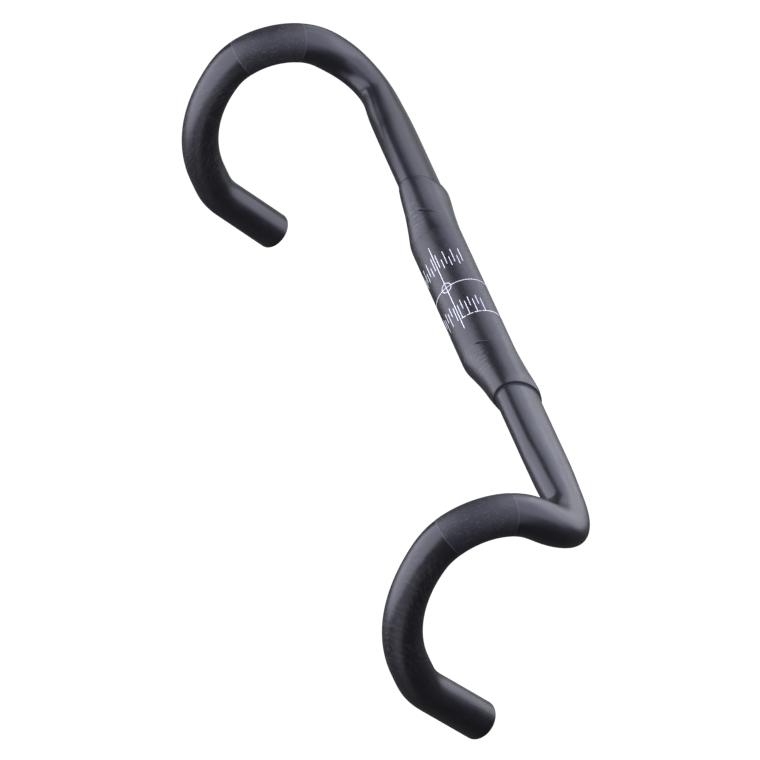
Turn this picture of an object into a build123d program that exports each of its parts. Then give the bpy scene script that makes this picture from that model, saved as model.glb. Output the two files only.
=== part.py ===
from build123d import *
from math import acos, asin, cos, degrees, radians, sin, sqrt, tan
import os

# Drop handlebar, road type, three-piece bonded carbon construction.
# Frame: origin at the centre of the stem clamp, +X to the rider's left,
# forward is -Y, +Z up. Millimetres.

# ---------------------------------------------------------------- dimensions
clamp_r = 15.9            # 31.8 mm stem clamp diameter
clamp_half = 50.0         # half length of the truly round clamp zone
clamp_bore_r = 13.0       # inner radius in the clamp zone, thick laminate
coat_half = 46.0          # half length of the gritty clamp coating
coat_t = 0.30             # coating thickness, let into the sleeve

tops_a = 17.6             # flattened tops, half depth fore and aft
tops_b = 10.7             # flattened tops, half height
tops_y = 0.9              # tops section centre, behind the clamp axis
tops_z = 4.85             # tops section centre, above the clamp axis
tops_end = 136.0          # where the tops start to turn into the shoulder
tops_wall = 2.5

sleeve_end = 90.0         # end of the centre sleeve: the step for the bar tape
spigot_in = 75.0          # inner end of the side tube's spigot in the sleeve
spigot_drop = 1.4         # how much thinner the spigot is than the tops
bond_t = 0.20             # epoxy thickness

tube_r = 11.9             # 23.8 mm round tube at the levers and drops
tube_wall = 2.0
bore_r = tube_r - tube_wall       # inside of the lever seat and of the drop end

bend_x = 170.5            # start of the shoulder bend
bend_y = 2.1
bend_z = 4.45
bend_r = 29.6             # shoulder bend centreline radius
flare = 3.8               # outward lean of the hook plane, degrees
ramp_slope = 5.3          # downward slope of the ramp, degrees
ramp_len = 8.5            # straight ramp
split_len = 4.5           # length of ramp that belongs to the shoulder stretch
hook_r1, hook_a1 = 41.5, 35.1     # upper hook: radius and turn, in three arcs
hook_r2, hook_a2 = 45.2, 32.6
hook_r3, hook_a3 = 36.4, 34.7
hook_r4, hook_a4 = 101.6, 49.5    # long lower hook arc
drop_run = 10.7                   # short straight before the drop
drop_r, drop_a = 46.5, 22.8       # tight bend into the drop
drop_len = 47.5                   # straight drop end

lever_band_from = 28.2    # lever clamp band: starts in the first hook arc
lever_band_to = 9.9       # and ends in the third, degrees into each
band_t = 0.30             # thickness of the lever grip band, let into the tube

mark_t = 0.03             # printed mark thickness
mark_w = 0.40             # printed line width
target_r = 3.4            # centre circle of the crosshair, outside
axis_mark_half = 34.3     # half length of the line along the clamp
side_ring_x = 26.8        # second ring line, on the rider's left
tick_first = 6.1          # first tick each side of the line, degrees
tick_step = 8.75
tick_count = 7            # ticks above and below the line, each side
long_tick = (16.0, 26.5)  # along the clamp, from and to
short_tick = (13.6, 20.9)

# The hook is slightly slimmer than the lever seat below it. Stations are
# (degrees into the arc, outside radius, inside radius).
hook3_taper = [(9.9, 11.90, 9.90), (16.0, 11.80, 9.80), (22.0, 11.66, 9.66),
               (28.5, 11.52, 9.52), (34.7, 11.41, 9.41)]
hook4_taper = [(0.0, 11.41, 9.41), (5.0, 11.25, 9.25), (11.0, 11.16, 9.16),
               (18.5, 11.20, 9.20), (27.0, 11.34, 9.34), (37.5, 11.51, 9.51),
               (49.5, 11.66, 9.66)]
run_r, run_in = 11.70, 9.70                     # at the start of the tight bend
drop_taper = [(0.0, 11.70, 9.70), (11.4, 11.74, 9.80), (22.8, 11.78, 9.90)]
tip_r = 11.9                                    # at the open end

# Sleeve stations: distance from the middle, section centre behind and above
# the clamp axis, half depth, half height. Round up to clamp_half.
flare_stations = [
    (50.0, 0.00, 0.00, 15.90, 15.90),
    (53.0, 0.01, 0.27, 15.99, 15.64),
    (55.5, 0.03, 0.70, 16.15, 15.26),
    (58.0, 0.06, 1.12, 16.34, 14.93),
    (61.0, 0.11, 1.60, 16.63, 14.58),
    (64.0, 0.18, 2.07, 16.95, 14.23),
    (67.5, 0.27, 2.60, 17.34, 13.84),
    (71.5, 0.39, 3.18, 17.80, 13.50),
    (76.0, 0.50, 3.79, 18.26, 13.30),
    (81.0, 0.62, 4.36, 18.70, 13.12),
    (85.5, 0.72, 4.76, 19.02, 12.78),
    (88.3, 0.78, 4.94, 19.14, 12.42),
    (89.4, 0.80, 4.98, 19.00, 12.20),
    (90.0, 0.81, 5.00, 18.60, 11.80),
]

# Shoulder stations: distance along the path from tops_end, half depth,
# half height, rearward shift and upward shift of the section centre.
shoulder = [
    (0.0, 17.60, 10.70, 0.00, 0.00),
    (7.0, 16.95, 10.80, 0.00, 0.02),
    (14.0, 16.42, 10.78, 0.00, 0.05),
    (21.0, 16.00, 10.52, 0.00, 0.10),
    (28.0, 15.60, 10.06, -0.02, 0.18),
    (34.5, 15.12, 9.62, -0.04, 0.30),
    (40.0, 14.80, 9.40, -0.05, 0.38),
    (45.0, 14.50, 9.34, -0.10, 0.44),
    (50.0, 14.15, 9.44, -0.20, 0.49),
    (56.0, 13.68, 9.74, -0.38, 0.54),
    (61.5, 13.15, 10.14, -0.56, 0.54),
    (67.0, 12.68, 10.60, -0.68, 0.52),
    (72.0, 12.35, 10.98, -0.66, 0.46),
    (76.5, 12.12, 11.32, -0.52, 0.35),
    (81.0, 11.97, 11.64, -0.30, 0.19),
    (85.3, 11.90, 11.90, 0.00, 0.00),
]

os.makedirs("parts", exist_ok=True)

# ------------------------------------------------------- centreline geometry
X = Vector(1, 0, 0)
Z = Vector(0, 0, 1)
FWD = Vector(0, -1, 0)
DOWN = Vector(sin(radians(flare)), 0, -cos(radians(flare)))   # down the leaning hook plane


def heading(deg):
    """Unit tangent and inward normal of the hook curve at a slope of deg."""
    a = radians(deg)
    return FWD * cos(a) + DOWN * sin(a), DOWN * cos(a) - FWD * sin(a)


def arc_end(p, t, n, r, deg):
    a = radians(deg)
    return p + t * (r * sin(a)) + n * (r * (1 - cos(a)))


# shoulder bend, from +X to the ramp direction
ramp_dir, ramp_nrm = heading(ramp_slope)
bend_start = Vector(bend_x, bend_y, bend_z)
bend_turn = degrees(acos(ramp_dir.dot(X)))
bend_n = (ramp_dir - X * ramp_dir.dot(X)).normalized()
bend_end = arc_end(bend_start, X, bend_n, bend_r, bend_turn)

p_split = bend_end + ramp_dir * split_len      # the shoulder stretch ends here
p_1 = bend_end + ramp_dir * ramp_len           # start of the first hook arc
t_1, n_1 = ramp_dir, ramp_nrm
t_seat, n_seat = heading(ramp_slope + lever_band_from)     # start of the lever seat
p_seat = arc_end(p_1, t_1, n_1, hook_r1, lever_band_from)
turn2 = ramp_slope + hook_a1
t_2, n_2 = heading(turn2)                      # start of the second hook arc
p_2 = arc_end(p_1, t_1, n_1, hook_r1, hook_a1)
turn3 = turn2 + hook_a2
t_3, n_3 = heading(turn3)                      # start of the third hook arc
p_3 = arc_end(p_2, t_2, n_2, hook_r2, hook_a2)
turn4 = turn3 + hook_a3
t_4, n_4 = heading(turn4)                      # start of the lower hook arc
p_4 = arc_end(p_3, t_3, n_3, hook_r3, hook_a3)
turn5 = turn4 + hook_a4
t_run, n_run = heading(turn5)
p_run = arc_end(p_4, t_4, n_4, hook_r4, hook_a4)
p_bend = p_run + t_run * drop_run
turn_total = turn5 + drop_a
t_end, n_end = heading(turn_total)
p_drop = arc_end(p_bend, t_run, n_run, drop_r, drop_a)
p_tip = p_drop + t_end * drop_len
t_mid, n_mid = heading(turn2 + hook_a2 / 2)
p_mid = arc_end(p_2, t_2, n_2, hook_r2, hook_a2 / 2)

print("turn total", turn_total, "drop end", p_tip)
print("middle of the second hook arc", p_mid, t_mid)


def across(p, t, side):
    """Plane across the path at p, its x axis along side as far as possible."""
    s = (side - t * side.dot(t)).normalized()
    return Plane(origin=p, x_dir=s, z_dir=t)


def centre_of(p, n, r):
    return p + n * r


def arc_plane(p, t, n, r, deg, turn):
    """Plane across an arc that starts at p, deg into it."""
    return across(arc_end(p, t, n, r, deg), heading(turn + deg)[0], side)


side = DOWN.cross(FWD)                   # sideways axis of the hook plane


# ------------------------------------------------------------- centre sleeve
# Round clamp zone, flaring on each side into the oval tops section, proud of
# the side tubes by the thickness of the bar tape.
def tops_plane(x):
    return Plane(origin=(x, tops_y, tops_z), x_dir=(0, 1, 0), z_dir=(1, 0, 0))


with BuildPart() as flare_body:
    # left flare, outside
    for x, cy, cz, a, b in flare_stations:
        with BuildSketch(Plane(origin=(x, cy, cz), x_dir=(0, 1, 0), z_dir=(1, 0, 0))):
            Ellipse(a, b)
    loft()
    # cavity: from the clamp bore to the spigot bore
    with BuildSketch(Plane(origin=(clamp_half, 0, 0), x_dir=(0, 1, 0), z_dir=(1, 0, 0))):
        Ellipse(clamp_bore_r, clamp_bore_r)
    with BuildSketch(tops_plane(spigot_in)):
        Ellipse(tops_a - tops_wall, tops_b - tops_wall)
    loft(mode=Mode.SUBTRACT)
    # pocket for the side tube's spigot and its glue
    with BuildSketch(tops_plane(spigot_in)):
        Ellipse(tops_a - spigot_drop + bond_t, tops_b - spigot_drop + bond_t)
    extrude(amount=sleeve_end - spigot_in, mode=Mode.SUBTRACT)

with BuildPart() as centre_sleeve:
    with BuildSketch(Plane.YZ):
        Circle(clamp_r)
        Circle(clamp_bore_r, mode=Mode.SUBTRACT)
    extrude(amount=clamp_half, both=True)
    add(flare_body.part)
    mirror(flare_body.part, about=Plane.YZ)
    # shallow recess that the grip coating lies in
    with BuildSketch(Plane.YZ):
        Circle(clamp_r + 1)
        Circle(clamp_r - coat_t, mode=Mode.SUBTRACT)
    extrude(amount=coat_half, both=True, mode=Mode.SUBTRACT)
centre_sleeve.part.label = "centre_sleeve"

# gritty anti-slip coating of the clamp zone, flush with the sleeve
with BuildPart() as clamp_grip_coating:
    with BuildSketch(Plane.YZ):
        Circle(clamp_r)
        Circle(clamp_r - coat_t, mode=Mode.SUBTRACT)
    extrude(amount=coat_half, both=True)
clamp_grip_coating.part.label = "clamp_grip_coating"

# ------------------------------------------------------- left side tube, in
# simple stretches that meet face to face
with BuildPart() as left_tops_tube:
    # spigot that is glued into the sleeve
    with BuildSketch(tops_plane(spigot_in)):
        Ellipse(tops_a - spigot_drop, tops_b - spigot_drop)
    extrude(amount=sleeve_end + bond_t - spigot_in)
    # visible oval tops
    with BuildSketch(tops_plane(sleeve_end + bond_t)):
        Ellipse(tops_a, tops_b)
    extrude(amount=tops_end - sleeve_end - bond_t)
    with BuildSketch(tops_plane(spigot_in)):
        Ellipse(tops_a - tops_wall, tops_b - tops_wall)
    extrude(amount=tops_end - spigot_in, mode=Mode.SUBTRACT)
left_tops_tube.part.label = "left_tops_tube"

# epoxy between spigot and sleeve, and under the sleeve's end face
with BuildPart() as left_bond_layer:
    with BuildSketch(tops_plane(spigot_in)):
        Ellipse(tops_a - spigot_drop + bond_t, tops_b - spigot_drop + bond_t)
    extrude(amount=sleeve_end - spigot_in)
    with BuildSketch(tops_plane(sleeve_end)):
        Ellipse(tops_a, tops_b)
    extrude(amount=bond_t)
    with BuildSketch(tops_plane(spigot_in)):
        Ellipse(tops_a - spigot_drop, tops_b - spigot_drop)
    extrude(amount=sleeve_end + bond_t - spigot_in, mode=Mode.SUBTRACT)
left_bond_layer.part.label = "left_bond_layer"


def shoulder_station(s, dn, dv):
    """Plane across the shoulder path at distance s from the end of the tops."""
    lead = bend_x - tops_end
    bend_len = bend_r * radians(bend_turn)
    if s <= lead:
        k = s / lead
        p = Vector(tops_end + s, tops_y + (bend_y - tops_y) * k, tops_z + (bend_z - tops_z) * k)
        t = X
    elif s <= lead + bend_len:
        q = (s - lead) / bend_r
        p = bend_start + X * (bend_r * sin(q)) + bend_n * (bend_r * (1 - cos(q)))
        t = X * cos(q) + bend_n * sin(q)
    else:
        p = bend_end + ramp_dir * (s - lead - bend_len)
        t = ramp_dir
    up = (Z - t * Z.dot(t)).normalized()
    back = up.cross(t)                  # +Y on the tops, +X on the ramp... outward of the bend
    return Plane(origin=p + back * dn + up * dv, x_dir=back, z_dir=t)


lead_len = bend_x - tops_end
shoulder_len = lead_len + bend_r * radians(bend_turn) + split_len
with BuildPart() as left_shoulder_tube:
    for s, a, b, dn, dv in shoulder:
        with BuildSketch(shoulder_station(s * shoulder_len / 85.3, dn, dv)):
            Ellipse(a, b)
    loft()
    for s, a, b, dn, dv in shoulder:
        wall = tops_wall + (tube_wall - tops_wall) * s / 85.3
        with BuildSketch(shoulder_station(s * shoulder_len / 85.3, dn, dv)):
            Ellipse(a - wall, b - wall)
    loft(mode=Mode.SUBTRACT)
left_shoulder_tube.part.label = "left_shoulder_tube"

hook_axis1 = Axis(centre_of(p_1, n_1, hook_r1), t_1.cross(n_1))
hook_axis2 = Axis(centre_of(p_2, n_2, hook_r2), t_2.cross(n_2))
hook_axis3 = Axis(centre_of(p_3, n_3, hook_r3), t_3.cross(n_3))

# ramp and the start of the upper hook
with BuildPart() as left_ramp_tube:
    with BuildSketch(across(p_split, ramp_dir, side)):
        Circle(tube_r)
        Circle(bore_r, mode=Mode.SUBTRACT)
    extrude(amount=ramp_len - split_len)
    with BuildSketch(across(p_1, t_1, side)):
        Circle(tube_r)
        Circle(bore_r, mode=Mode.SUBTRACT)
    revolve(axis=hook_axis1, revolution_arc=lever_band_from)
left_ramp_tube.part.label = "left_ramp_tube"

# seat of the brake lever clamp, thinner by the grip band around it
with BuildPart() as left_lever_seat_tube:
    with BuildSketch(across(p_seat, t_seat, side)):
        Circle(tube_r - band_t)
        Circle(bore_r, mode=Mode.SUBTRACT)
    revolve(axis=hook_axis1, revolution_arc=hook_a1 - lever_band_from)
    with BuildSketch(across(p_2, t_2, side)):
        Circle(tube_r - band_t)
        Circle(bore_r, mode=Mode.SUBTRACT)
    revolve(axis=hook_axis2, revolution_arc=hook_a2)
    with BuildSketch(across(p_3, t_3, side)):
        Circle(tube_r - band_t)
        Circle(bore_r, mode=Mode.SUBTRACT)
    revolve(axis=hook_axis3, revolution_arc=lever_band_to)
left_lever_seat_tube.part.label = "left_lever_seat_tube"

# gritty band that the lever clamp grips, flush with the tube
with BuildPart() as left_lever_grip_band:
    with BuildSketch(across(p_seat, t_seat, side)):
        Circle(tube_r)
        Circle(tube_r - band_t, mode=Mode.SUBTRACT)
    revolve(axis=hook_axis1, revolution_arc=hook_a1 - lever_band_from)
    with BuildSketch(across(p_2, t_2, side)):
        Circle(tube_r)
        Circle(tube_r - band_t, mode=Mode.SUBTRACT)
    revolve(axis=hook_axis2, revolution_arc=hook_a2)
    with BuildSketch(across(p_3, t_3, side)):
        Circle(tube_r)
        Circle(tube_r - band_t, mode=Mode.SUBTRACT)
    revolve(axis=hook_axis3, revolution_arc=lever_band_to)
left_lever_grip_band.part.label = "left_lever_grip_band"

# rest of the upper hook, getting slimmer
with BuildPart() as left_upper_hook_tube:
    for deg, r_out, r_in in hook3_taper:
        with BuildSketch(arc_plane(p_3, t_3, n_3, hook_r3, deg, turn3)):
            Circle(r_out)
    loft()
    for deg, r_out, r_in in hook3_taper:
        with BuildSketch(arc_plane(p_3, t_3, n_3, hook_r3, deg, turn3)):
            Circle(r_in)
    loft(mode=Mode.SUBTRACT)
left_upper_hook_tube.part.label = "left_upper_hook_tube"

# long lower hook arc
with BuildPart() as left_lower_hook_tube:
    for deg, r_out, r_in in hook4_taper:
        with BuildSketch(arc_plane(p_4, t_4, n_4, hook_r4, deg, turn4)):
            Circle(r_out)
    loft()
    for deg, r_out, r_in in hook4_taper:
        with BuildSketch(arc_plane(p_4, t_4, n_4, hook_r4, deg, turn4)):
            Circle(r_in)
    loft(mode=Mode.SUBTRACT)
left_lower_hook_tube.part.label = "left_lower_hook_tube"

# short straight and the tight bend into the drop
with BuildPart() as left_drop_bend_tube:
    with BuildSketch(across(p_run, t_run, side)):
        Circle(hook4_taper[-1][1])
    with BuildSketch(across(p_bend, t_run, side)):
        Circle(run_r)
    loft()
    for deg, r_out, r_in in drop_taper:
        with BuildSketch(arc_plane(p_bend, t_run, n_run, drop_r, deg, turn5)):
            Circle(r_out)
    loft()
    with BuildSketch(across(p_run, t_run, side)):
        Circle(hook4_taper[-1][2])
    with BuildSketch(across(p_bend, t_run, side)):
        Circle(run_in)
    loft(mode=Mode.SUBTRACT)
    for deg, r_out, r_in in drop_taper:
        with BuildSketch(arc_plane(p_bend, t_run, n_run, drop_r, deg, turn5)):
            Circle(r_in)
    loft(mode=Mode.SUBTRACT)
left_drop_bend_tube.part.label = "left_drop_bend_tube"

# straight drop end, open for a bar-end plug
with BuildPart() as left_drop_end_tube:
    with BuildSketch(across(p_drop, t_end, side)):
        Circle(drop_taper[-1][1])
    with BuildSketch(across(p_tip, t_end, side)):
        Circle(tip_r)
    loft()
    with BuildSketch(across(p_drop, t_end, side)):
        Circle(bore_r)
    extrude(amount=drop_len, mode=Mode.SUBTRACT)
    fillet(left_drop_end_tube.edges().filter_by(GeomType.CIRCLE).group_by(Axis.Y)[-1], 0.5)
left_drop_end_tube.part.label = "left_drop_end_tube"

# ----------------------------------------------------------- right side tube
with BuildPart() as right_tops_tube:
    mirror(left_tops_tube.part, about=Plane.YZ)
right_tops_tube.part.label = "right_tops_tube"

with BuildPart() as right_bond_layer:
    mirror(left_bond_layer.part, about=Plane.YZ)
right_bond_layer.part.label = "right_bond_layer"

with BuildPart() as right_shoulder_tube:
    mirror(left_shoulder_tube.part, about=Plane.YZ)
right_shoulder_tube.part.label = "right_shoulder_tube"

with BuildPart() as right_ramp_tube:
    mirror(left_ramp_tube.part, about=Plane.YZ)
right_ramp_tube.part.label = "right_ramp_tube"

with BuildPart() as right_lever_seat_tube:
    mirror(left_lever_seat_tube.part, about=Plane.YZ)
right_lever_seat_tube.part.label = "right_lever_seat_tube"

with BuildPart() as right_upper_hook_tube:
    mirror(left_upper_hook_tube.part, about=Plane.YZ)
right_upper_hook_tube.part.label = "right_upper_hook_tube"

with BuildPart() as right_lower_hook_tube:
    mirror(left_lower_hook_tube.part, about=Plane.YZ)
right_lower_hook_tube.part.label = "right_lower_hook_tube"

with BuildPart() as right_drop_bend_tube:
    mirror(left_drop_bend_tube.part, about=Plane.YZ)
right_drop_bend_tube.part.label = "right_drop_bend_tube"

with BuildPart() as right_drop_end_tube:
    mirror(left_drop_end_tube.part, about=Plane.YZ)
right_drop_end_tube.part.label = "right_drop_end_tube"

with BuildPart() as right_lever_grip_band:
    mirror(left_lever_grip_band.part, about=Plane.YZ)
right_lever_grip_band.part.label = "right_lever_grip_band"

# --------------------------------------------------------- printed alignment
# marks on the clamp zone, thin solids that lie on the coating. Angles run from
# straight ahead (0) upwards and back.
sweep_axis = Axis((0, 0, 0), (-1, 0, 0))


def stroke_plane(x, deg):
    """Plane through the clamp axis at deg, origin on the clamp surface."""
    a = radians(deg)
    out = Vector(0, -cos(a), sin(a))
    return Plane(origin=X * x + out * (clamp_r + mark_t / 2), x_dir=X, z_dir=X.cross(out))


stroke_deg = degrees(mark_w / clamp_r)

with BuildPart() as mark_shell:
    with BuildSketch(Plane.YZ):
        Circle(clamp_r + mark_t)
        Circle(clamp_r, mode=Mode.SUBTRACT)
    extrude(amount=target_r + 1, both=True)

# circle with a cross at the middle of the clamp
with BuildPart() as centre_target_mark:
    with BuildSketch(Plane.XZ):
        Circle(target_r)
        Circle(target_r - mark_w, mode=Mode.SUBTRACT)
        Rectangle(2 * target_r - mark_w, mark_w * 0.8, rotation=0)
        Rectangle(2 * target_r - mark_w, mark_w * 0.8, rotation=90)
    extrude(amount=clamp_r + 1)
    add(mark_shell.part, mode=Mode.INTERSECT)
centre_target_mark.part.label = "centre_target_mark"

# line along the clamp, broken by the circle
with BuildPart() as clamp_axis_mark:
    gap = target_r + 0.02
    run = axis_mark_half - gap
    for x in (-gap - run / 2, gap + run / 2):
        with BuildSketch(stroke_plane(x, -stroke_deg / 2)):
            Rectangle(run, mark_t)
    revolve(axis=sweep_axis, revolution_arc=stroke_deg)
clamp_axis_mark.part.label = "clamp_axis_mark"

# ring line in the middle of the clamp, broken by the circle
with BuildPart() as centre_ring_mark:
    ring_gap = degrees(asin(target_r / clamp_r)) + 0.3
    with BuildSketch(stroke_plane(0, ring_gap)):
        Rectangle(mark_w, mark_t)
    revolve(axis=sweep_axis, revolution_arc=360 - 2 * ring_gap)
centre_ring_mark.part.label = "centre_ring_mark"

# ring line on the rider's left, in dashes between the long ticks
with BuildPart() as side_ring_mark:
    for start, stop in ((3.2, 13.5), (16.5, 31.0), (34.0, 48.5), (51.5, 118.0)):
        with BuildSketch(stroke_plane(side_ring_x, start)):
            Rectangle(mark_w * 1.2, mark_t)
        revolve(axis=sweep_axis, revolution_arc=stop - start)
side_ring_mark.part.label = "side_ring_mark"

# tilt scales: short and long ticks by turns, above and below the line
with BuildPart() as tilt_scale_marks:
    for k in range(tick_count):
        x0, x1 = long_tick if k % 2 == 0 else short_tick
        for sign in (-1, 1):
            mid = sign * (tick_first + k * tick_step) - stroke_deg / 2
            for xs in (-1, 1):
                with BuildSketch(stroke_plane(xs * (x0 + x1) / 2, mid)):
                    Rectangle(x1 - x0, mark_t)
                revolve(axis=sweep_axis, revolution_arc=stroke_deg)
tilt_scale_marks.part.label = "tilt_scale_marks"

for piece in (centre_sleeve, clamp_grip_coating, left_tops_tube, left_bond_layer,
              left_shoulder_tube, left_ramp_tube, left_lever_seat_tube,
              left_lever_grip_band, left_upper_hook_tube, left_lower_hook_tube,
              left_drop_bend_tube, left_drop_end_tube,
              right_tops_tube, right_bond_layer, right_shoulder_tube, right_ramp_tube,
              right_lever_seat_tube, right_lever_grip_band, right_upper_hook_tube,
              right_lower_hook_tube, right_drop_bend_tube, right_drop_end_tube,
              centre_target_mark, clamp_axis_mark, centre_ring_mark, side_ring_mark,
              tilt_scale_marks):
    export_step(piece.part, "parts/" + piece.part.label + ".step")
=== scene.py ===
import bpy
import math
import numpy as np
from mathutils import Vector, Matrix


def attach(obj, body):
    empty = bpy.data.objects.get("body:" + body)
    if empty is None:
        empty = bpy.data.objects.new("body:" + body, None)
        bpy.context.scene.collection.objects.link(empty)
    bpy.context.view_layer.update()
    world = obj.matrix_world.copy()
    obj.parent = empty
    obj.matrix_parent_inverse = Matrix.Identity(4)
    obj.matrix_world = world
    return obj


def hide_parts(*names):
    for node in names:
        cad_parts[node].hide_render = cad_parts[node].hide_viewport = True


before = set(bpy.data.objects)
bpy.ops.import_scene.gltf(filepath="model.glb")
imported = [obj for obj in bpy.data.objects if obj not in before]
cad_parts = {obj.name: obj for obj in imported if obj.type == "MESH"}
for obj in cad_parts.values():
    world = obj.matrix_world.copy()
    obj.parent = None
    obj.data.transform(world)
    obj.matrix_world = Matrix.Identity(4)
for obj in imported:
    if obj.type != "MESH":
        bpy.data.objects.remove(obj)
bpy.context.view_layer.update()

MM = 0.001

# ------------------------------------------------------------ driving sizes, mm
CLAMP_R, CLAMP_HALF, COAT_HALF = 15.9, 50.0, 46.0
TOPS_A, TOPS_B, TOPS_Y, TOPS_Z, TOPS_END = 17.6, 10.7, 0.9, 4.85, 136.0
SLEEVE_END = 90.0
TUBE_R, BORE_R = 11.9, 9.9
BEND_X, BEND_Y, BEND_Z, BEND_R = 170.5, 2.1, 4.45, 29.6
FLARE, RAMP_SLOPE, RAMP_LEN, SPLIT_LEN = 3.8, 5.3, 8.5, 4.5
# the hook after the ramp: (radius, degrees) of an arc, or (0, length) of a straight
HOOK = [(41.5, 35.1), (45.2, 32.6), (36.4, 34.7), (101.6, 49.5), (0, 10.7), (46.5, 22.8), (0, 47.5)]
BAND_FROM, BAND_TO = 28.2, 9.9      # degrees into the first and the third arc
SHOULDER = np.array([
    (0.0, 17.60, 10.70, 0.00, 0.00), (7.0, 16.95, 10.80, 0.00, 0.02),
    (14.0, 16.42, 10.78, 0.00, 0.05), (21.0, 16.00, 10.52, 0.00, 0.10),
    (28.0, 15.60, 10.06, -0.02, 0.18), (34.5, 15.12, 9.62, -0.04, 0.30),
    (40.0, 14.80, 9.40, -0.05, 0.38), (45.0, 14.50, 9.34, -0.10, 0.44),
    (50.0, 14.15, 9.44, -0.20, 0.49), (56.0, 13.68, 9.74, -0.38, 0.54),
    (61.5, 13.15, 10.14, -0.56, 0.54), (67.0, 12.68, 10.60, -0.68, 0.52),
    (72.0, 12.35, 10.98, -0.66, 0.46), (76.5, 12.12, 11.32, -0.52, 0.35),
    (81.0, 11.97, 11.64, -0.30, 0.19), (85.3, 11.90, 11.90, 0.00, 0.00)])
FLARE_ST = np.array([
    (30.0, 0.00, 0.00, 15.90, 15.90), (50.0, 0.00, 0.00, 15.90, 15.90),
    (53.0, 0.01, 0.27, 15.99, 15.64), (55.5, 0.03, 0.70, 16.15, 15.26),
    (58.0, 0.06, 1.12, 16.34, 14.93), (61.0, 0.11, 1.60, 16.63, 14.58),
    (64.0, 0.18, 2.07, 16.95, 14.23), (67.5, 0.27, 2.60, 17.34, 13.84),
    (71.5, 0.39, 3.18, 17.80, 13.50), (76.0, 0.50, 3.79, 18.26, 13.30),
    (81.0, 0.62, 4.36, 18.70, 13.12), (85.5, 0.72, 4.76, 19.02, 12.78),
    (88.3, 0.78, 4.94, 19.14, 12.42)])


def smooth_interp(x, xs, ys):
    """Monotone cubic through (xs, ys), level outside them."""
    xs, ys = np.asarray(xs, float), np.asarray(ys, float)
    x = np.clip(np.asarray(x, float), xs[0], xs[-1])
    h, d = np.diff(xs), np.diff(ys) / np.diff(xs)
    m = np.zeros(len(xs))
    for i in range(1, len(xs) - 1):
        if d[i - 1] * d[i] > 0:
            w1, w2 = 2 * h[i] + h[i - 1], h[i] + 2 * h[i - 1]
            m[i] = (w1 + w2) / (w1 / d[i - 1] + w2 / d[i])
    k = np.clip(np.searchsorted(xs, x, side="right") - 1, 0, len(xs) - 2)
    t = (x - xs[k]) / h[k]
    return ((2 * t**3 - 3 * t**2 + 1) * ys[k] + (t**3 - 2 * t**2 + t) * h[k] * m[k]
            + (-2 * t**3 + 3 * t**2) * ys[k + 1] + (t**3 - t**2) * h[k] * m[k + 1])


def faired(grid, vals, sigma, twice=True):
    """Values on an even grid rounded off over sigma mm; arcs keep their radius when twice."""
    step = grid[1] - grid[0]
    n = int(4 * sigma / step)
    k = np.exp(-0.5 * (np.arange(-n, n + 1) * step / sigma) ** 2)
    k /= k.sum()

    def run(v):
        # extended along its end slopes, so that the ends stay where they are
        e0 = v[0] + (v[0] - v[1]) * np.arange(n, 0, -1)
        e1 = v[-1] + (v[-1] - v[-2]) * np.arange(1, n + 1)
        return np.convolve(np.concatenate([e0, v, e1]), k, "valid")

    out = run(vals)
    return out + run(vals - out) if twice else out


# ------------------------------------------------------------- the centreline
fl = math.radians(FLARE)
FWD = np.array([0.0, -1.0, 0.0])
DOWN = np.array([math.sin(fl), 0.0, -math.cos(fl)])
SIDE = np.array([math.cos(fl), 0.0, math.sin(fl)])
XV, ZV = np.array([1.0, 0, 0]), np.array([0, 0, 1.0])


def heading(deg):
    a = math.radians(deg)
    return FWD * math.cos(a) + DOWN * math.sin(a), DOWN * math.cos(a) - FWD * math.sin(a)


ramp_dir, ramp_nrm = heading(RAMP_SLOPE)
bend_turn = math.acos(float(ramp_dir @ XV))
bend_n = ramp_dir - XV * float(ramp_dir @ XV)
bend_n /= np.linalg.norm(bend_n)
bend_start = np.array([BEND_X, BEND_Y, BEND_Z])


def arc(p, t, n, r, a):
    return p + t * (r * math.sin(a)) + n * (r * (1 - math.cos(a))), t * math.cos(a) + n * math.sin(a)


bend_end, _ = arc(bend_start, XV, bend_n, BEND_R, bend_turn)
LEAD = BEND_X - TOPS_END
S_BEND = LEAD + BEND_R * bend_turn
S_HOOK = S_BEND + RAMP_LEN
SH_LEN = LEAD + BEND_R * bend_turn + SPLIT_LEN
# walk the hook once: start distance, point, tangent, normal, radius and slope of each stretch
WALK, _s, _p, _th = [], S_HOOK, bend_end + ramp_dir * RAMP_LEN, RAMP_SLOPE
for _r, _v in HOOK:
    _t, _n = heading(_th)
    WALK.append((_s, _p, _t, _n, _r))
    if _r:
        _p = arc(_p, _t, _n, _r, math.radians(_v))[0]
        _s, _th = _s + _r * math.radians(_v), _th + _v
    else:
        _p, _s = _p + _t * _v, _s + _v
S_TIP = _s
S_BAND0 = WALK[0][0] + HOOK[0][0] * math.radians(BAND_FROM)
S_BAND1 = WALK[2][0] + HOOK[2][0] * math.radians(BAND_TO)
S_RUN, S_TIGHT, S_DROP = WALK[4][0], WALK[5][0], WALK[6][0]
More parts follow.
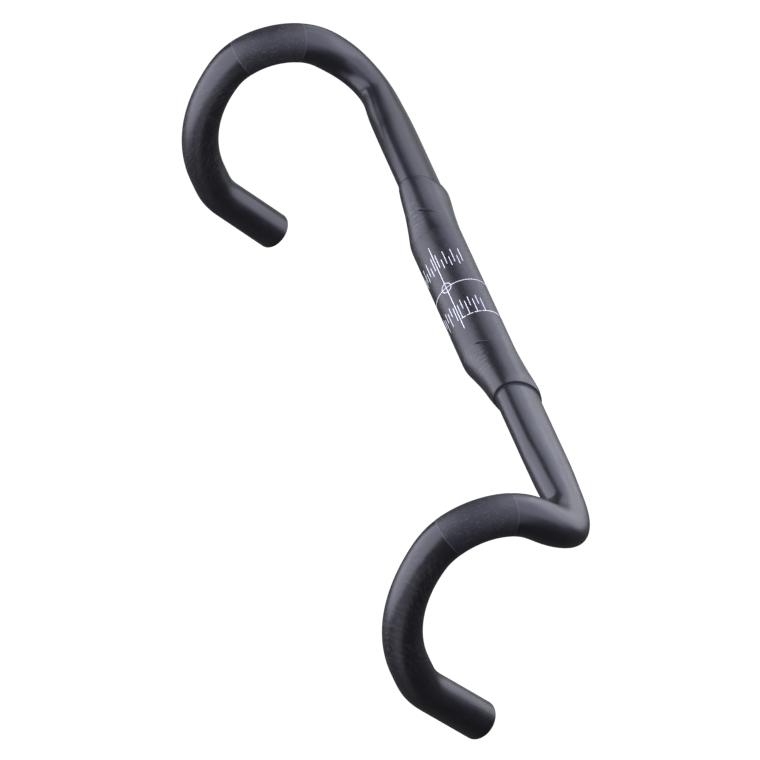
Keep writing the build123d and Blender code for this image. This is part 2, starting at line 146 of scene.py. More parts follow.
# outside and inside radius of the round tube along the hook
ROUND = np.array([(S_HOOK - 4.0, 11.9, 9.9)]
                 + [(WALK[2][0] + 36.4 * math.radians(d), a, b) for d, a, b in
                    ((9.9, 11.90, 9.90), (16.0, 11.80, 9.80), (22.0, 11.66, 9.66), (28.5, 11.52, 9.52))]
                 + [(WALK[3][0] + 101.6 * math.radians(d), a, b) for d, a, b in
                    ((0.0, 11.41, 9.41), (5.0, 11.25, 9.25), (11.0, 11.16, 9.16), (18.5, 11.20, 9.20),
                     (27.0, 11.34, 9.34), (37.5, 11.51, 9.51), (49.5, 11.66, 9.66))]
                 + [(S_TIGHT, 11.70, 9.70), (S_DROP, 11.78, 9.90), (S_TIP, 11.9, 9.9)])


def centre_raw(s):
    """Centreline of straights and arcs; s in mm from the end of the straight tops."""
    if s <= 0:
        return np.array([TOPS_END + s, TOPS_Y, TOPS_Z])
    if s <= LEAD:
        k = s / LEAD
        return np.array([TOPS_END + s, TOPS_Y + (BEND_Y - TOPS_Y) * k, TOPS_Z + (BEND_Z - TOPS_Z) * k])
    if s <= S_BEND:
        return arc(bend_start, XV, bend_n, BEND_R, (s - LEAD) / BEND_R)[0]
    if s <= S_HOOK:
        return bend_end + ramp_dir * (s - S_BEND)
    s0, p, t, n, r = [w for w in WALK if w[0] <= s][-1]
    return arc(p, t, n, r, (s - s0) / r)[0] if r else p + t * (s - s0)


# the real moulding has no sudden change of curvature, so line and sections are faired
GRID = np.arange(-50.0, S_TIP + 0.2, 0.25)
LINE = np.array([centre_raw(g) for g in GRID])
LINE = np.stack([faired(GRID, LINE[:, i], 4.0) for i in range(3)], 1)
TANG = np.gradient(LINE, GRID, axis=0)
TANG /= np.linalg.norm(TANG, axis=1)[:, None]
SH_FAIR = [faired(GRID, smooth_interp(GRID, SHOULDER[:, 0] * SH_LEN / 85.3, SHOULDER[:, i]), 7.0) for i in (1, 2, 3, 4)]
RO_FAIR = [faired(GRID, smooth_interp(GRID, ROUND[:, 0], ROUND[:, i]), 3.0, False) for i in (1, 2)]
XGRID = np.arange(30.0, 95.1, 0.25)
FL_FAIR = []
for i in (1, 2, 3, 4):
    _v = smooth_interp(XGRID, FLARE_ST[:, 0], FLARE_ST[:, i])
    _v = np.where(XGRID > FLARE_ST[-1, 0], FLARE_ST[-1, i] + (FLARE_ST[-1, i] - FLARE_ST[-2, i]) / (FLARE_ST[-1, 0] - FLARE_ST[-2, 0]) * (XGRID - FLARE_ST[-1, 0]), _v)
    FL_FAIR.append(faired(XGRID, _v, 2.2, False))


def centre(s):
    """Centreline point and tangent of the faired line."""
    p = np.array([np.interp(s, GRID, LINE[:, i]) for i in range(3)])
    t = np.array([np.interp(s, GRID, TANG[:, i]) for i in range(3)])
    return p, t / np.linalg.norm(t)


def frame_at(s):
    """Centre, tangent, and the section's two axes (depth, height)."""
    p, t = centre(s)
    k = min(max((s - LEAD) / (S_HOOK - LEAD), 0.0), 1.0)
    k = k * k * (3 - 2 * k)
    up = ZV - t * float(t @ ZV)
    if np.linalg.norm(up) > 1e-6:
        up /= np.linalg.norm(up)
    sd = np.cross(up, t)
    if s > LEAD:
        e = SIDE - t * float(SIDE @ t)
        e /= np.linalg.norm(e)
        if s >= S_HOOK:
            sd = e
        else:
            sd = sd * (1 - k) + e * k
            sd /= np.linalg.norm(sd)
    return p, t, sd, np.cross(t, sd)


def section(s):
    """Half depth, half height and centre shift of the side tube's outside."""
    r = float(np.interp(s, GRID, RO_FAIR[0])) - TUBE_R
    a, b, dn, dv = (float(np.interp(s, GRID, v)) for v in SH_FAIR)
    # the front of the section stands a little proud where the tops turn into the bend
    w = min(max((s - 4.0) / 26.0, 0.0), 1.0) * min(max((84.0 - s) / 30.0, 0.0), 1.0)
    w = w * w * (3 - 2 * w) * 0.85
    return a + r + w, b + r, dn - w, dv


TOP_SIDE = math.radians(68)
# the flattened section leans nose up through the shoulder: distance, degrees
LEAN = np.array([(-30.0, 0.0), (0.0, 1.0), (14.0, 5.0), (28.0, 9.0), (40.0, 12.0), (50.0, 12.0), (60.0, 8.5), (70.0, 4.0), (78.0, 0.0), (90.0, 0.0)])
LEAN_FAIR = np.interp(GRID, LEAN[:, 0], LEAN[:, 1])
LEAN_FAIR = np.radians(faired(GRID, LEAN_FAIR, 8.0, False))


def tube_ring(s, th, d=0.0, side=1):
    """Ring of skin points at s, pushed out by d, and their flow coordinates."""
    p, t, e1, e2 = frame_at(s)
    a, b, dn, dv = section(s)
    lean = float(np.interp(s, GRID, LEAN_FAIR))
    if lean > 1e-4:
        # the height seen from in front stays the same
        h2 = (a * math.cos(TOP_SIDE)) ** 2 + (b * math.sin(TOP_SIDE)) ** 2
        b = math.sqrt(max(h2 - (a * math.cos(TOP_SIDE + lean)) ** 2, 1.0)) / math.sin(TOP_SIDE + lean)
        e1, e2 = e1 * math.cos(lean) - e2 * math.sin(lean), e1 * math.sin(lean) + e2 * math.cos(lean)
    # shift axes are the level ones
    up = ZV - t * float(t @ ZV)
    if np.linalg.norm(up) > 1e-6: up /= np.linalg.norm(up)
    c = p + np.cross(up, t) * dn + up * dv
    a, b = a + d, b + d
    pts = c + np.outer(a * np.cos(th), e1) + np.outer(b * np.sin(th), e2)
    r = (a + b) / 2
    flow = np.stack([np.full(len(th), s + TOPS_END), r * np.cos(th), r * np.sin(th)], 1)
    pts[:, 0] *= side
    flow[:, 0] *= side
    return pts, flow


# moulding creases pressed across the sleeve: x at angle 28 (degrees up from straight ahead), slope and
# bend of the line, then its depth along the angle, and half its width
CREASES = [(-61.0, 0.150, 0.0012, ((8, 0), (14, 0.35), (19, 0.85), (30, 0.85), (37, 0.42), (43, 0.16), (56, 0.09), (64, 0)), 0.42),
           (50.8, 0.125, 0.0012, ((4, 0), (11, 0.40), (16, 0.90), (28, 0.90), (34, 0.42), (41, 0.16), (56, 0.09), (64, 0)), 0.44),
           (-36.5, 0.000, 0.0000, ((12, 0), (20, 0.13), (32, 0.20), (45, 0.12), (56, 0)), 0.26)]


def crease_span():
    return [(c[0] + min(c[1] * k + c[2] * k * k for k in (-20, -10, 0, 15, 30)) - 1.2,
             c[0] + max(c[1] * k + c[2] * k * k for k in (-20, -10, 0, 15, 30)) + 1.2) for c in CREASES]


def end_slant(x, th):
    """The sleeve's end is cut at a slant: shorter at the top than underneath."""
    w = min(max((abs(x) - 80.0) / 10.0, 0.0), 1.0)
    w = w * w * (3 - 2 * w)
    return -math.copysign(1.0, x) * 2.0 * w * (0.5 + 0.5 * np.cos(th - TOP_SIDE))


def sleeve_ring(x, th, d=0.0, creased=False):
    """Ring of the centre sleeve's outside at x (either side of the middle)."""
    q = min(abs(x), 90.0)
    cy, cz, a, b = (float(np.interp(q, XGRID, v)) for v in FL_FAIR)
    # the last millimetre is rounded over, and the top tapers a little towards the end
    e = max(q - 89.1, 0.0)
    w = min(max((q - 85.0) / 5.0, 0.0), 1.0)
    r = (a + b) / 2
    a, b = a + d - 0.40 * e * e, b + d - 0.40 * e * e
    dent = w * w * (3 - 2 * w) * (0.12 + 0.33 * np.clip(np.cos(th - TOP_SIDE), 0, 1))
    # underneath, the flare draws in towards the tops
    w2 = min(max((q - 78.0) / 12.0, 0.0), 1.0)
    dent = dent + w2 * w2 * (3 - 2 * w2) * 0.65 * np.clip(np.cos(th - math.radians(296)), 0, 1) ** 2
    if creased:
        up = 180.0 - np.degrees(th)
        for cx, k1, k2, dep, half in CREASES:
            u = up - 28.0
            dd = np.interp(up, [t[0] for t in dep], [t[1] for t in dep], left=0, right=0)
            dent = dent + dd * np.exp(-((x - cx - k1 * u - k2 * u * u) / (half * (0.6 + 0.6 * np.sqrt(dd)))) ** 2)
    pts = np.stack([x + end_slant(x, th), cy + (a - dent) * np.cos(th), cz + (b - dent) * np.sin(th)], 1)
    return pts, np.stack([np.full(len(th), x), r * np.cos(th), r * np.sin(th)], 1)


# ---------------------------------------------------------------- mesh helpers
def add_mesh(name, verts, faces, flow=None, smooth=True, sharp=35.0):
    me = bpy.data.meshes.new(name)
    me.from_pydata([tuple(v * MM) for v in verts], [], faces)
    me.update()
    if flow is not None:
        at = me.attributes.new("flow", "FLOAT_VECTOR", "POINT")
        at.data.foreach_set("vector", (np.asarray(flow, np.float32) * MM).ravel())
    if smooth:
        me.polygons.foreach_set("use_smooth", [True] * len(me.polygons))
        me.set_sharp_from_angle(angle=math.radians(sharp))
    ob = bpy.data.objects.new(name, me)
    bpy.context.scene.collection.objects.link(ob)
    return ob


def tube_faces(rings, n, closed_loop=False, flip=False):
    f = []
    last = rings if closed_loop else rings - 1
    for i in range(last):
        a, b = i * n, ((i + 1) % rings) * n
        for j in range(n):
            k = (j + 1) % n
            q = (a + j, a + k, b + k, b + j)
            f.append(q[::-1] if flip else q)
    return f


def shell(name, rings, flip):
    """Closed ring of rings: the outside, round the end, back along the inside."""
    n = len(rings[0][0])
    v = np.vstack([r[0] for r in rings])
    fl_ = np.vstack([r[1] for r in rings])
    return add_mesh(name, v, tube_faces(len(rings), n, closed_loop=True, flip=flip), fl_)


N = 128
TH = np.linspace(0, 2 * np.pi, N, endpoint=False)
THS = np.linspace(0, 2 * np.pi, 208, endpoint=False)     # finer round the sleeve, for its creases

# ------------------------------------------------------------- the visual skin
def build_side_tube(side, name):
    """One continuous moulding from inside the sleeve to the open drop end."""
    ss = set(np.round(np.arange(SLEEVE_END - TOPS_END - 4.0, 0, 2.0), 3))
    ss |= set(np.round(np.arange(0, S_HOOK, 0.9), 3))
    ss |= set(np.round(np.arange(S_HOOK, WALK[3][0], 1.0), 3))
    ss |= set(np.round(np.arange(WALK[3][0], S_RUN, 1.6), 3))
    ss |= set(np.round(np.arange(S_RUN, S_DROP, 0.9), 3))
    ss |= set(np.round(np.arange(S_DROP, S_TIP - 0.6, 3.0), 3))
    ss = sorted(ss)
    ss = [s for i, s in enumerate(ss) if i == 0 or s - ss[i - 1] > 0.05]
    rings = [tube_ring(ss[0], TH, -1.25, side)]
    for s in ss:
        rings.append(tube_ring(s, TH, 0.0, side))
    # the shoulder's skin is faired once more, point by point along the tube
    sv = np.array(ss)
    pts = np.array([r[0] for r in rings[1:]])
    g = np.exp(-0.5 * ((sv[:, None] - sv[None]) / 5.0) ** 2) * np.gradient(sv)[None]
    g /= g.sum(1)[:, None]
    flat = pts.reshape(len(sv), -1)
    soft = g @ flat
    soft = soft + g @ (flat - soft)
    m = np.clip((sv - 8.0) / 14.0, 0, 1) * np.clip((S_HOOK + 16.0 - sv) / 14.0, 0, 1)
    m = m * m * (3 - 2 * m)
    flat = flat + m[:, None] * (soft - flat)
    rings[1:] = [(q.reshape(-1, 3), r[1]) for q, r in zip(flat, rings[1:])]
    # rounded lip of the open end
    for k in range(0, 7):
        a = math.radians(90 * k / 6)
        rings.append(tube_ring(S_TIP - 0.6 + 0.6 * math.sin(a), TH, -0.6 + 0.6 * math.cos(a), side))
    for k in range(0, 5):
        a = math.radians(90 * k / 4)
        rings.append(tube_ring(S_TIP - 0.4 + 0.4 * math.cos(a), TH, -(TUBE_R - BORE_R) + 0.4 * (1 - math.sin(a)), side))
    for s in [x for x in ss[::-1] if x < S_TIP - 1.0]:
        if s > SH_LEN:
            wall = section(s)[0] - float(np.interp(s, GRID, RO_FAIR[1]))
        else:
            wall = 2.5 if s <= 0 else max(2.0, 2.5 - 0.5 * s / SH_LEN)
        rings.append(tube_ring(s, TH, -wall, side))
    return shell(name, rings, flip=(side < 0))


def build_sleeve():
    xs = set(np.round(np.arange(COAT_HALF, CLAMP_HALF, 1.0), 3)) | set(np.round(np.arange(CLAMP_HALF, SLEEVE_END - 1.0, 0.9), 3))
    lip = [89.2, 89.4, 89.55, 89.7, 89.82, 89.92, 90.0]
    both = {x for x in xs} | {-x for x in xs} | set(lip) | {-x for x in lip}
    for x0, x1 in crease_span():
        if x0 > COAT_HALF or x1 < -COAT_HALF:
            both |= set(np.round(np.arange(x0, x1, 0.16), 3))
    outer = sorted(both)
    prof = [(x, 0.0) for x in outer if x < -COAT_HALF]
    # the seat of the coating is a shallow step down
    prof += [(-COAT_HALF, 0.0)] + [(x, -0.28) for x in np.linspace(-COAT_HALF + 0.02, COAT_HALF - 0.02, 30)] + [(COAT_HALF, 0.0)]
    prof += [(x, 0.0) for x in outer if x > COAT_HALF]
    face = [(SLEEVE_END, -0.5), (SLEEVE_END, -1.3), (SLEEVE_END - 0.8, -1.5), (SLEEVE_END - 4, -1.9)]
    full = [(-x, d) for x, d in face[::-1]] + prof + face
    rings = [sleeve_ring(x, THS, d, d == 0.0) for x, d in full]
    # the inside of the sleeve, closing the shell
    inner = []
    for x in (84.0, 70.0, 50.0, 0.0, -50.0, -70.0, -84.0):
        p, f_ = sleeve_ring(x, THS, -2.9 if abs(x) <= 70 else -2.2)
        inner.append((p, f_))
    return shell("centre_sleeve_skin", rings + inner, flip=False)


def build_coating():
    """The gritty coating on the round clamp zone, edges feathered."""
    prof = [(-COAT_HALF, -0.26), (-COAT_HALF, -0.10), (-COAT_HALF + 0.12, 0.0)]
    xs = set(np.round(np.arange(-COAT_HALF + 1.0, COAT_HALF - 0.5, 1.0), 3))
    for x0, x1 in crease_span():
        if x0 > -COAT_HALF + 1 and x1 < COAT_HALF - 1:
            xs |= set(np.round(np.arange(x0, x1, 0.16), 3))
    prof += [(x, 0.0) for x in sorted(xs)]
    prof += [(COAT_HALF - 0.12, 0.0), (COAT_HALF, -0.10), (COAT_HALF, -0.26)]
    rings = [sleeve_ring(x, THS, d, True) for x, d in prof]
    return shell("clamp_coating_skin", rings, flip=False)


def build_band(side, name):
    s0, s1, d = S_BAND0, S_BAND1, 0.07
    prof = [(s0, -0.15, 1), (s0, 0.02, 1), (s0 + 0.10, d, 1), (s0 + 0.34, d, 1), (s0 + 0.46, d, 0)]
    prof += [(s, d, 0) for s in np.linspace(s0 + 0.9, s1 - 0.9, 44)]
    prof += [(s1 - 0.46, d, 0), (s1 - 0.34, d, 1), (s1 - 0.10, d, 1), (s1, 0.02, 1), (s1, -0.15, 1)]
    prof += [(s, -0.15, 0) for s in np.linspace(s1 - 0.8, s0 + 0.8, 44)]
    rings = [tube_ring(s, TH, dd, side) for s, dd, _ in prof]
    ob = shell(name, rings, flip=(side < 0))
    # marks the band's two edges, which the material paints lighter as a painted highlight
    at = ob.data.attributes.new("edge", "FLOAT", "POINT")
    at.data.foreach_set("value", np.repeat(np.array([float(e) for _, _, e in prof], np.float32), N))
    return ob


def build_bond(side, name):
    """The dark glue line between the sleeve's end and the tops."""
    x = SLEEVE_END
    rings = []
    for xx, d in ((x - 1.0, -0.2), (x - 1.0, 0.62), (x - 0.02, 0.62), (x + 0.12, 0.46), (x + 0.26, 0.30), (x + 0.46, 0.15), (x + 0.66, 0.04), (x + 0.72, -0.2)):
        p, f_ = tube_ring(xx - TOPS_END, TH, d, side)
        p[:, 0] += end_slant(x * side, TH)
        rings.append((p, f_))
    return shell(name, rings, flip=(side < 0))


def build_seam_shade(side, name):
    """Painted shade: a thin dark strip on the sleeve's very edge, standing in for the shadow at the sleeve's end."""
    lo = 89.15
    rings = [sleeve_ring(q * side, THS, d) for q, d in ((lo - 0.04, -0.12), (lo, 0.0), (lo + 0.10, 0.020), (89.75, 0.020), (89.93, 0.012), (90.0, -0.05), (89.9, -0.2))]
    return shell(name, rings, flip=(side < 0))


def build_crease_shade(name):
    """Painted shade: a dark, dull strip lying in the two deep creases of the sleeve, below the skin's surface."""
    verts, faces, flow = [], [], []
    for cx, k1, k2, dep, half in CREASES[:2]:
        ups = np.linspace(dep[0][0], dep[-1][0], 90)
        base = len(verts)
        for up in ups:
            u = up - 28.0
            x = cx + k1 * u + k2 * u * u
            dd = float(np.interp(up, [t[0] for t in dep], [t[1] for t in dep]))
            w = 0.62 * half / 0.42
            th = np.array([math.radians(180.0 - up)])
            for dx, d in ((-w, -0.20), (w, -0.20), (w, -0.55), (-w, -0.55)):
                q, f_ = sleeve_ring(x + dx, th, d)
                verts.append(q[0]); flow.append(f_[0])
        n = len(ups)
        for i in range(n - 1):
            a, b = base + 4 * i, base + 4 * (i + 1)
            for k in range(4):
                faces.append((a + k, a + (k + 1) % 4, b + (k + 1) % 4, b + k))
        faces.append((base + 3, base + 2, base + 1, base))
        e = base + 4 * (n - 1)
        faces.append((e, e + 1, e + 2, e + 3))
    ob = add_mesh(name, np.array(verts), faces, flow=np.array(flow), smooth=True, sharp=40)
    import bmesh
    bm = bmesh.new(); bm.from_mesh(ob.data)
    bmesh.ops.recalc_face_normals(bm, faces=bm.faces)
    bm.to_mesh(ob.data); bm.free()
    return ob


# printed marks: strips wrapped on the clamp, angles from straight ahead, upwards
def on_clamp(x, arc_mm, r):
    """arc_mm is measured round the clamp from straight ahead, upwards."""
    a = arc_mm / CLAMP_R
    return (x, -r * math.cos(a), r * math.sin(a))


R_LO, R_HI = CLAMP_R - 0.02, CLAMP_R + 0.035


def strip(verts, faces, line, half, closed=False):
    """A ribbon along points (x, arc_mm), with thickness, added to verts and faces."""
    line = np.asarray(line, float)
    n = len(line)
    if closed:
        tan_ = np.roll(line, -1, 0) - np.roll(line, 1, 0)
    else:
        tan_ = np.gradient(line, axis=0)
    tan_ /= np.linalg.norm(tan_, axis=1)[:, None]
    nr = np.stack([-tan_[:, 1], tan_[:, 0]], 1) * half
    base = len(verts)
    for p, q in zip(line, nr):
        l, r = p - q, p + q
        verts += [on_clamp(*l, R_LO), on_clamp(*l, R_HI), on_clamp(*r, R_HI), on_clamp(*r, R_LO)]
    for i in range(n if closed else n - 1):
        a, b = base + 4 * i, base + 4 * ((i + 1) % n)
        for k in range(4):
            faces.append((a + k, b + k, b + (k + 1) % 4, a + (k + 1) % 4))
    if not closed:
        faces.append((base, base + 1, base + 2, base + 3))
        e = base + 4 * (n - 1)
        faces.append((e + 3, e + 2, e + 1, e))


def marks_object(name, strips):
    verts, faces = [], []
    for line, half, closed in strips:
        strip(verts, faces, line, half, closed)
    v = np.array(verts)
    ob = add_mesh(name, v, faces, flow=v, smooth=True, sharp=40)
    import bmesh
    bm = bmesh.new(); bm.from_mesh(ob.data)
    bmesh.ops.recalc_face_normals(bm, faces=bm.faces)
    bm.to_mesh(ob.data); bm.free()
    return ob


W = 0.5 * 0.40      # half a printed line
deg = math.pi / 180 * CLAMP_R
TR = 3.2            # the crosshair circle's centreline


def axial(x0, x1, at, n=8):
    return [(x, at) for x in np.linspace(x0, x1, n)]


def around(x, a0, a1, n):
    return [(x, a * deg) for a in np.linspace(a0, a1, n)]


def build_marks():
    circ = [(TR * math.cos(t), TR * math.sin(t)) for t in np.linspace(0, 2 * math.pi, 64, endpoint=False)]
    target = marks_object("centre_target_print", [(circ, W, True), (axial(-TR + W, TR - W, 0), W * 0.8, False),
                          ([(0.0, y) for y in np.linspace(-TR + W, -W, 6)], W * 0.8, False),
                          ([(0.0, y) for y in np.linspace(W, TR - W, 6)], W * 0.8, False)])
    line = marks_object("clamp_axis_print", [(axial(-34.3, -TR - W, 0, 24), W, False), (axial(TR + W, 34.3, 0, 24), W, False)])
    g = (TR + W) / deg
    ring = marks_object("centre_ring_print", [(around(0, g, 360 - g, 220), W, False)])
    side = marks_object("side_ring_print", [(around(26.8, a, b, max(6, int((b - a) / 1.5))), W * 1.2, False)
                        for a, b in ((3.2, 13.5), (16.5, 31.0), (34.0, 48.5), (51.5, 118.0))])
    ticks = []
    for k in range(7):
        x0, x1 = (16.0, 26.5) if k % 2 == 0 else (13.6, 20.9)
        for sg in (-1, 1):
            for xs in (-1, 1):
                ticks.append((axial(xs * x0, xs * x1, sg * (6.1 + 8.75 * k) * deg), W, False))
    tick = marks_object("tilt_scale_print", ticks)
    return target, line, ring, side, tick


# ------------------------------------------------------------------- materials
def new_mat(name):
    m = bpy.data.materials.new(name)
    m.use_nodes = True
    nt = m.node_tree
    nt.nodes.clear()
    out = nt.nodes.new("ShaderNodeOutputMaterial")
    b = nt.nodes.new("ShaderNodeBsdfPrincipled")
    nt.links.new(b.outputs[0], out.inputs[0])
    return m, nt, b


def node(nt, kind, **kw):
    n = nt.nodes.new(kind)
    for k, v in kw.items():
        if k.startswith("in_"):
            n.inputs[k[3:].replace("_", " ")].default_value = v
        else:
            setattr(n, k, v)
    return n


def ramp(nt, fac, stops):
    r = nt.nodes.new("ShaderNodeValToRGB")
    el = r.color_ramp.elements
    el[0].position, el[0].color = stops[0][0], stops[0][1]
    el[1].position, el[1].color = stops[-1][0], stops[-1][1]
    for p, c in stops[1:-1]:
        e = el.new(p)
        e.color = c
    nt.links.new(fac, r.inputs[0])
    return r.outputs[0]


def mix_rgb(nt, fac, a, b, mode="MIX"):
    n = nt.nodes.new("ShaderNodeMix")
    n.data_type = "RGBA"
    n.blend_type = mode
    for sock, v in ((n.inputs[0], fac), (n.inputs[6], a), (n.inputs[7], b)):
        if isinstance(v, bpy.types.NodeSocket):
            nt.links.new(v, sock)
        else:
            sock.default_value = v
    return n.outputs[2]


def mathn(nt, op, a, b=None, clamp=False):
    n = nt.nodes.new("ShaderNodeMath")
    n.operation = op
    n.use_clamp = clamp
    for sock, v in ((n.inputs[0], a), (n.inputs[1], b)):
        if v is None: continue
        if isinstance(v, bpy.types.NodeSocket):
            nt.links.new(v, sock)
        else:
            sock.default_value = v
    return n.outputs[0]


def flow_coords(nt, scale=(1, 1, 1)):
    at = nt.nodes.new("ShaderNodeAttribute")
    at.attribute_name = "flow"
    mp = nt.nodes.new("ShaderNodeMapping")
    mp.inputs["Scale"].default_value = scale
    nt.links.new(at.outputs["Vector"], mp.inputs["Vector"])
    return mp.outputs[0]


def noise(nt, vec, scale, detail=3.0, rough=0.5, distort=0.0):
    n = nt.nodes.new("ShaderNodeTexNoise")
    n.inputs["Scale"].default_value = scale
    n.inputs["Detail"].default_value = detail
    n.inputs["Roughness"].default_value = rough
    n.inputs["Distortion"].default_value = distort
    nt.links.new(vec, n.inputs["Vector"])
    return n.outputs["Fac"]


def attr_fac(nt, name):
    at = nt.nodes.new("ShaderNodeAttribute")
    at.attribute_name = name
    return at.outputs["Fac"]


def turned(nt, angle, scale):
    """Flow coordinates turned about the depth axis, then stretched: slanting fibres."""
    at = nt.nodes.new("ShaderNodeAttribute")
    at.attribute_name = "flow"
    m1 = nt.nodes.new("ShaderNodeMapping")
    m1.inputs["Rotation"].default_value = (0, math.radians(angle), 0)
    m2 = nt.nodes.new("ShaderNodeMapping")
    m2.inputs["Scale"].default_value = scale
    nt.links.new(at.outputs["Vector"], m1.inputs["Vector"])
    nt.links.new(m1.outputs[0], m2.inputs["Vector"])
    return m2.outputs[0]


def grey(v):
    return (v, v, v, 1)


def window(nt, value, lo0, lo1, hi1, hi0):
    """1 between lo1 and hi1, falling to 0 at lo0 and hi0 (metres)."""
    a = nt.nodes.new("ShaderNodeMapRange")
    a.interpolation_type = "SMOOTHSTEP"
    a.inputs["From Min"].default_value, a.inputs["From Max"].default_value = lo0, lo1
    nt.links.new(value, a.inputs["Value"])
    b = nt.nodes.new("ShaderNodeMapRange")
    b.interpolation_type = "SMOOTHSTEP"
    b.inputs["From Min"].default_value, b.inputs["From Max"].default_value = hi1, hi0
    b.inputs["To Min"].default_value, b.inputs["To Max"].default_value = 1.0, 0.0
    nt.links.new(value, b.inputs["Value"])
    return mathn(nt, "MULTIPLY", a.outputs[0], b.outputs[0])


def separate(nt, vec):
    n = nt.nodes.new("ShaderNodeSeparateXYZ")
    nt.links.new(vec, n.inputs[0])
    return n.outputs


